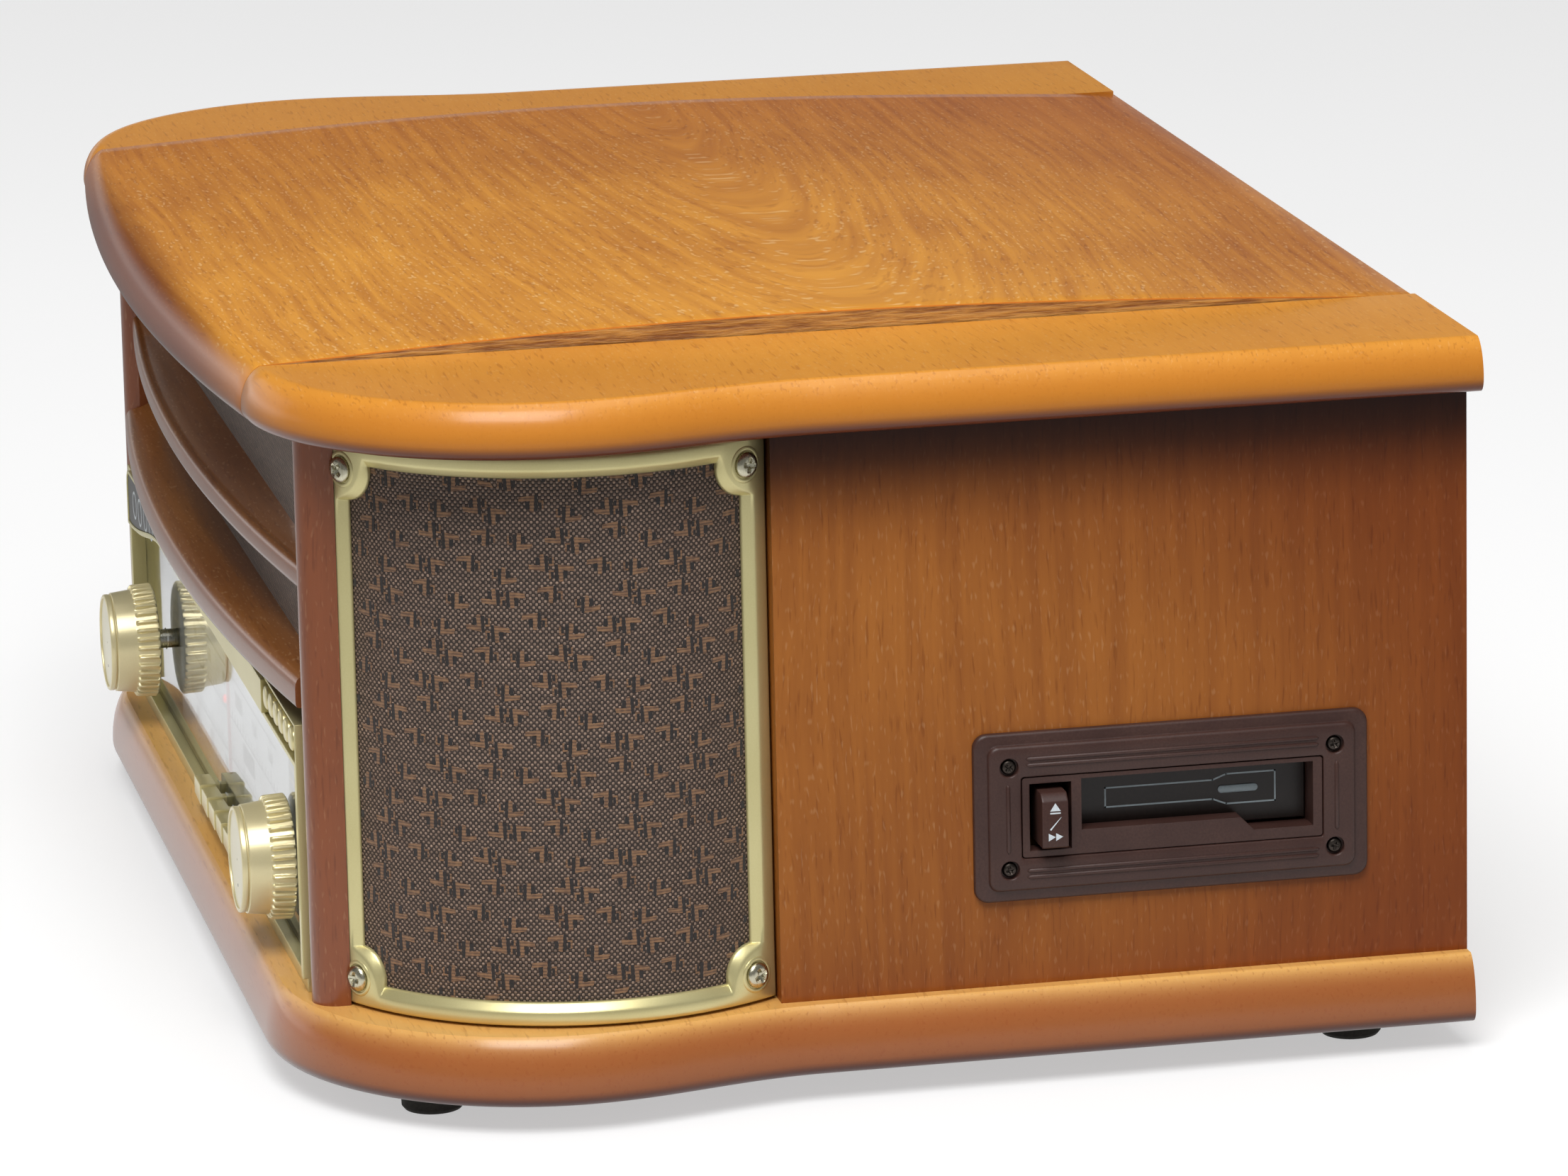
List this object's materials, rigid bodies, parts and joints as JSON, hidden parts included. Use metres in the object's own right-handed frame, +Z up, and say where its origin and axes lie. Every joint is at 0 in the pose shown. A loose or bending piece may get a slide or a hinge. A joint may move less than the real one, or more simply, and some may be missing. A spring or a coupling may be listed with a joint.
{
  "type": "stereo music centre",
  "caption": "Wooden tabletop music centre with round speaker corners, radio dial and knobs, disc drawer, side cassette slot and a hinged lid over a turntable.",
  "frame": {"origin": "middle of the cabinet's footprint, on the floor under its rubber feet", "axes": "+X towards the cassette side, +Y to the back, +Z up; the radio dial faces -Y"},
  "size_m": [0.5018, 0.3459, 0.2108],
  "materials": {
    "honey_wood": "satin",
    "brown_wood": "satin",
    "red_wood": "satin",
    "board": "matte",
    "cloth": "matte",
    "gold_paint": "satin",
    "gold_plastic": "satin",
    "steel": "satin",
    "dark_screw": "satin",
    "maroon_plastic": "satin",
    "black_plastic": "gloss",
    "black_deck": "matte",
    "scale_paper": "matte",
    "red_pointer": "matte",
    "aluminium": "satin",
    "brass": "satin",
    "rubber": "matte",
    "circuit_board": "matte",
    "clear_plastic": "gloss"
  },
  "bodies": {
    "cabinet": {"base_board": "red_wood", "side_wall_right": "brown_wood", "side_wall_left": "brown_wood", "back_panel": "board", "top_rail_right": "honey_wood", "top_rail_left": "honey_wood", "lid_hinge_leaves": "steel", "corner_post_right": "red_wood", "corner_post_left": "red_wood", "grille_panel": "cloth", "upper_bar": "red_wood", "lower_bar": "red_wood", "speaker_baffle_right": "board", "speaker_baffle_left": "board", "speaker_cloth_right": "cloth", "speaker_cloth_left": "cloth", "speaker_frame_right": "gold_paint", "speaker_frame_left": "gold_paint", "speaker_frame_screws": "steel", "loudspeaker_right": "black_plastic", "loudspeaker_left": "black_plastic", "front_bezel": "gold_paint", "dial_window": "clear_plastic", "dial_scale": "scale_paper", "display_lens": "black_plastic", "disc_mechanism": "steel", "knob_controls": "steel", "cassette_bezel": "maroon_plastic", "cassette_screws": "dark_screw", "cassette_mechanism": "maroon_plastic", "turntable_deck": "black_deck", "turntable_motor": "steel", "drive_belt": "rubber", "amplifier_board": "circuit_board", "mains_inlet": "black_plastic", "rubber_feet": "rubber"},
    "lid_group": {"lid": "honey_wood", "lid_hinge_straps": "steel"},
    "volume": {"volume_knob": "gold_plastic"},
    "tuning": {"tuning_knob": "gold_plastic"},
    "pointer": {"dial_pointer": "red_pointer"},
    "drawer": {"disc_drawer": "gold_plastic"},
    "platter_group": {"platter": "aluminium", "platter_mat": "rubber"},
    "pulley": {"motor_pulley": "brass"},
    "arm_yaw": {"tonearm_pivot": "aluminium"},
    "arm": {"tonearm": "aluminium"},
    "flap": {"cassette_flap": "black_plastic"},
    "lever": {"cassette_lever": "maroon_plastic"},
    "key_1": {"push_button_1": "gold_plastic"},
    "key_2": {"push_button_2": "gold_plastic"},
    "key_3": {"push_button_3": "gold_plastic"},
    "key_4": {"push_button_4": "gold_plastic"},
    "key_5": {"push_button_5": "gold_plastic"},
    "oval_1": {"oval_button_1": "gold_plastic"},
    "oval_2": {"oval_button_2": "gold_plastic"},
    "oval_3": {"oval_button_3": "gold_plastic"},
    "oval_4": {"oval_button_4": "gold_plastic"},
    "oval_5": {"oval_button_5": "gold_plastic"},
    "oval_6": {"oval_button_6": "gold_plastic"}
  },
  "joints": [
    {"name": "lid_hinge", "type": "hinge", "parent": "cabinet", "child": "lid_group", "pos_m": [0, 0.1705, 0.1864], "axis": [-1, 0, 0], "range_deg": [0, 75]},
    {"name": "volume_turn", "type": "hinge", "parent": "cabinet", "child": "volume", "pos_m": [-0.1344, -0.151, 0.0545], "axis": [0, 1, 0], "range_deg": [-150, 150]},
    {"name": "tuning_turn", "type": "hinge", "parent": "cabinet", "child": "tuning", "pos_m": [0.1344, -0.151, 0.0545], "axis": [0, 1, 0], "range_deg": [-540, 540]},
    {"name": "pointer_slide", "type": "slide", "parent": "cabinet", "child": "pointer", "axis": [1, 0, 0], "range_m": [-0.085, 0.085]},
    {"name": "drawer_slide", "type": "slide", "parent": "cabinet", "child": "drawer", "axis": [0, -1, 0], "range_m": [0, 0.118]},
    {"name": "platter_spin", "type": "hinge", "parent": "cabinet", "child": "platter_group", "pos_m": [-0.022, 0.01, 0.152], "axis": [0, 0, -1], "continuous": true},
    {"name": "pulley_spin", "type": "hinge", "parent": "cabinet", "child": "pulley", "pos_m": [-0.087, 0.075, 0.15], "axis": [0, 0, -1], "continuous": true},
    {"name": "arm_turn", "type": "hinge", "parent": "cabinet", "child": "arm_yaw", "pos_m": [0.15, 0.105, 0.1473], "axis": [0, 0, -1], "range_deg": [0, 45]},
    {"name": "arm_lift", "type": "hinge", "parent": "arm_yaw", "child": "arm", "pos_m": [0.15, 0.105, 0.172], "axis": [-1, 0, 0], "range_deg": [0, 4]},
    {"name": "flap_hinge", "type": "hinge", "parent": "cabinet", "child": "flap", "pos_m": [0.2225, 0.0932, 0.0881], "axis": [0, 1, 0], "range_deg": [0, 80], "stiffness_Nm_per_rad": 0.003},
    {"name": "lever_push", "type": "slide", "parent": "cabinet", "child": "lever", "axis": [-1, 0, 0], "range_m": [0, 0.006], "stiffness_N_per_m": 500, "springref_m": -0.001},
    {"name": "key_push_1", "type": "slide", "parent": "cabinet", "child": "key_1", "axis": [0, 1, 0], "range_m": [0, 0.0016], "stiffness_N_per_m": 400, "springref_m": -0.001},
    {"name": "key_push_2", "type": "slide", "parent": "cabinet", "child": "key_2", "axis": [0, 1, 0], "range_m": [0, 0.0016], "stiffness_N_per_m": 400, "springref_m": -0.001},
    {"name": "key_push_3", "type": "slide", "parent": "cabinet", "child": "key_3", "axis": [0, 1, 0], "range_m": [0, 0.0016], "stiffness_N_per_m": 400, "springref_m": -0.001},
    {"name": "key_push_4", "type": "slide", "parent": "cabinet", "child": "key_4", "axis": [0, 1, 0], "range_m": [0, 0.0016], "stiffness_N_per_m": 400, "springref_m": -0.001},
    {"name": "key_push_5", "type": "slide", "parent": "cabinet", "child": "key_5", "axis": [0, 1, 0], "range_m": [0, 0.0016], "stiffness_N_per_m": 400, "springref_m": -0.001},
    {"name": "oval_push_1", "type": "slide", "parent": "cabinet", "child": "oval_1", "axis": [0, 1, 0], "range_m": [0, 0.0016], "stiffness_N_per_m": 400, "springref_m": -0.001},
    {"name": "oval_push_2", "type": "slide", "parent": "cabinet", "child": "oval_2", "axis": [0, 1, 0], "range_m": [0, 0.0016], "stiffness_N_per_m": 400, "springref_m": -0.001},
    {"name": "oval_push_3", "type": "slide", "parent": "cabinet", "child": "oval_3", "axis": [0, 1, 0], "range_m": [0, 0.0016], "stiffness_N_per_m": 400, "springref_m": -0.001},
    {"name": "oval_push_4", "type": "slide", "parent": "cabinet", "child": "oval_4", "axis": [0, 1, 0], "range_m": [0, 0.0016], "stiffness_N_per_m": 400, "springref_m": -0.001},
    {"name": "oval_push_5", "type": "slide", "parent": "cabinet", "child": "oval_5", "axis": [0, 1, 0], "range_m": [0, 0.0016], "stiffness_N_per_m": 400, "springref_m": -0.001},
    {"name": "oval_push_6", "type": "slide", "parent": "cabinet", "child": "oval_6", "axis": [0, 1, 0], "range_m": [0, 0.0016], "stiffness_N_per_m": 400, "springref_m": -0.001}
  ],
  "couplings": [
    {"joint": "pointer_slide", "follows": "tuning_turn", "m_per_rad": 0.0090179},
    {"joint": "pulley_spin", "follows": "platter_spin", "ratio": 10.75}
  ]
}
